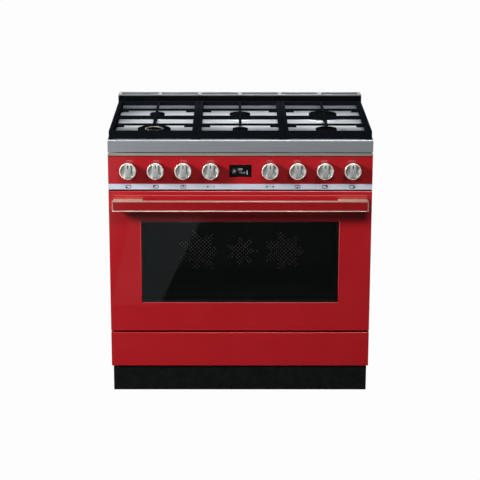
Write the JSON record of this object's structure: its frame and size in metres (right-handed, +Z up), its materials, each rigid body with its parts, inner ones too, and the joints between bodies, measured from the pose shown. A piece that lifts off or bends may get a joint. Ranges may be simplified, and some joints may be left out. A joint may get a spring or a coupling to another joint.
{
  "type": "range cooker",
  "caption": "Freestanding red range cooker with a gas hob, a wide fan oven with a drop-down door, and a storage drawer.",
  "frame": {"origin": "on the floor, under the middle of the overall box", "axes": "+Z up, +Y to the back, +X to the right as seen from the front"},
  "size_m": [0.895, 0.644, 0.95],
  "materials": {
    "red_enamel": "gloss",
    "black_enamel": "gloss",
    "stainless": "brushed",
    "bright_strip": "satin",
    "knob_metal": "satin",
    "plated_wire": "polished",
    "galvanised": "matt",
    "iron": "matt",
    "burner_metal": "matt, with black caps",
    "rail_metal": "satin",
    "glass_pane": "clear, dark",
    "control_plastic": "gloss",
    "wool": "loose mineral wool",
    "seal_rubber": "matt",
    "side_paint": "satin"
  },
  "bodies": {
    "root": {"plinth": "black_enamel", "base_frame": "galvanised", "side_panel_left": "side_paint", "side_panel_right": "side_paint", "back_panel": "galvanised", "oven_cavity": "black_enamel", "oven_insulation": "wool", "fan_cover": "black_enamel", "fan_motors": "galvanised", "grill_element": "galvanised", "side_rack_left": "plated_wire", "side_rack_right": "plated_wire", "oven_shelf": "plated_wire", "oven_tray": "black_enamel", "hinge_arm_left": "galvanised", "hinge_arm_right": "galvanised", "door_seal": "seal_rubber", "control_panel": "red_enamel", "symbol_strip": "bright_strip", "trim_strip": "stainless", "oven_controls": "control_plastic", "gas_rail": "rail_metal", "hob_top": "stainless", "upstand": "black_enamel", "upstand_vent": "stainless", "burner_front_left": "burner_metal", "burner_front_centre": "burner_metal", "burner_front_right": "burner_metal", "burner_rear_left": "burner_metal", "burner_rear_centre": "burner_metal", "burner_rear_right": "burner_metal"},
    "door": {"door_outer_panel": "red_enamel", "door_inner_frame": "black_enamel", "door_outer_glass": "glass_pane", "door_inner_glass": "glass_pane", "handle_bar": "red_enamel", "handle_bracket_left": "stainless", "handle_bracket_right": "stainless"},
    "drawer": {"drawer_front": "red_enamel", "drawer_box": "galvanised"},
    "spindle_1": {"spindle_1": "rail_metal"},
    "spindle_2": {"spindle_2": "rail_metal"},
    "spindle_3": {"spindle_3": "rail_metal"},
    "spindle_6": {"spindle_6": "rail_metal"},
    "spindle_7": {"spindle_7": "rail_metal"},
    "spindle_8": {"spindle_8": "rail_metal"},
    "knob_1": {"knob_1": "knob_metal"},
    "knob_2": {"knob_2": "knob_metal"},
    "knob_3": {"knob_3": "knob_metal"},
    "knob_4": {"knob_4": "knob_metal"},
    "knob_5": {"knob_5": "knob_metal"},
    "knob_6": {"knob_6": "knob_metal"},
    "knob_7": {"knob_7": "knob_metal"},
    "knob_8": {"knob_8": "knob_metal"},
    "fan_left": {"fan_left": "galvanised"},
    "fan_centre": {"fan_centre": "galvanised"},
    "fan_right": {"fan_right": "galvanised"},
    "pan_support_left": {"pan_support_left": "iron"},
    "pan_support_centre": {"pan_support_centre": "iron"},
    "pan_support_right": {"pan_support_right": "iron"}
  },
  "joints": [
    {"name": "oven_door", "type": "hinge", "parent": "root", "child": "door", "pos_m": [0, -0.263, 0.237], "axis": [1, 0, 0], "range_deg": [0, 90]},
    {"name": "storage_drawer", "type": "slide", "parent": "root", "child": "drawer", "axis": [0, -1, 0], "range_m": [0, 0.38]},
    {"name": "gas_knob_1_turn", "type": "hinge", "parent": "root", "child": "spindle_1", "pos_m": [-0.3795, -0.278, 0.796], "axis": [0, -1, 0], "range_deg": [0, 210]},
    {"name": "gas_knob_1_push", "type": "slide", "parent": "spindle_1", "child": "knob_1", "axis": [0, 1, 0], "range_m": [0, 0.004], "stiffness_N_per_m": 500, "springref_m": -0.004},
    {"name": "gas_knob_2_turn", "type": "hinge", "parent": "root", "child": "spindle_2", "pos_m": [-0.2865, -0.278, 0.796], "axis": [0, -1, 0], "range_deg": [0, 210]},
    {"name": "gas_knob_2_push", "type": "slide", "parent": "spindle_2", "child": "knob_2", "axis": [0, 1, 0], "range_m": [0, 0.004], "stiffness_N_per_m": 500, "springref_m": -0.004},
    {"name": "gas_knob_3_turn", "type": "hinge", "parent": "root", "child": "spindle_3", "pos_m": [-0.1935, -0.278, 0.796], "axis": [0, -1, 0], "range_deg": [0, 210]},
    {"name": "gas_knob_3_push", "type": "slide", "parent": "spindle_3", "child": "knob_3", "axis": [0, 1, 0], "range_m": [0, 0.004], "stiffness_N_per_m": 500, "springref_m": -0.004},
    {"name": "gas_knob_6_turn", "type": "hinge", "parent": "root", "child": "spindle_6", "pos_m": [0.1935, -0.278, 0.796], "axis": [0, -1, 0], "range_deg": [0, 210]},
    {"name": "gas_knob_6_push", "type": "slide", "parent": "spindle_6", "child": "knob_6", "axis": [0, 1, 0], "range_m": [0, 0.004], "stiffness_N_per_m": 500, "springref_m": -0.004},
    {"name": "gas_knob_7_turn", "type": "hinge", "parent": "root", "child": "spindle_7", "pos_m": [0.2865, -0.278, 0.796], "axis": [0, -1, 0], "range_deg": [0, 210]},
    {"name": "gas_knob_7_push", "type": "slide", "parent": "spindle_7", "child": "knob_7", "axis": [0, 1, 0], "range_m": [0, 0.004], "stiffness_N_per_m": 500, "springref_m": -0.004},
    {"name": "gas_knob_8_turn", "type": "hinge", "parent": "root", "child": "spindle_8", "pos_m": [0.3795, -0.278, 0.796], "axis": [0, -1, 0], "range_deg": [0, 210]},
    {"name": "gas_knob_8_push", "type": "slide", "parent": "spindle_8", "child": "knob_8", "axis": [0, 1, 0], "range_m": [0, 0.004], "stiffness_N_per_m": 500, "springref_m": -0.004},
    {"name": "thermostat_turn", "type": "hinge", "parent": "root", "child": "knob_4", "pos_m": [-0.1005, -0.278, 0.796], "axis": [0, 1, 0], "range_deg": [0, 270]},
    {"name": "function_turn", "type": "hinge", "parent": "root", "child": "knob_5", "pos_m": [0.1005, -0.278, 0.796], "axis": [0, 1, 0], "continuous": true},
    {"name": "fan_left_spin", "type": "hinge", "parent": "root", "child": "fan_left", "pos_m": [-0.16, 0.18, 0.395], "axis": [0, 1, 0], "continuous": true},
    {"name": "fan_centre_spin", "type": "hinge", "parent": "root", "child": "fan_centre", "pos_m": [0, 0.18, 0.395], "axis": [0, 1, 0], "continuous": true},
    {"name": "fan_right_spin", "type": "hinge", "parent": "root", "child": "fan_right", "pos_m": [0.16, 0.18, 0.395], "axis": [0, 1, 0], "continuous": true},
    {"name": "pan_support_left_lift", "type": "slide", "parent": "root", "child": "pan_support_left", "axis": [0, 0, 1], "range_m": [0, 0.06]},
    {"name": "pan_support_centre_lift", "type": "slide", "parent": "root", "child": "pan_support_centre", "axis": [0, 0, 1], "range_m": [0, 0.06]},
    {"name": "pan_support_right_lift", "type": "slide", "parent": "root", "child": "pan_support_right", "axis": [0, 0, 1], "range_m": [0, 0.06]}
  ]
}
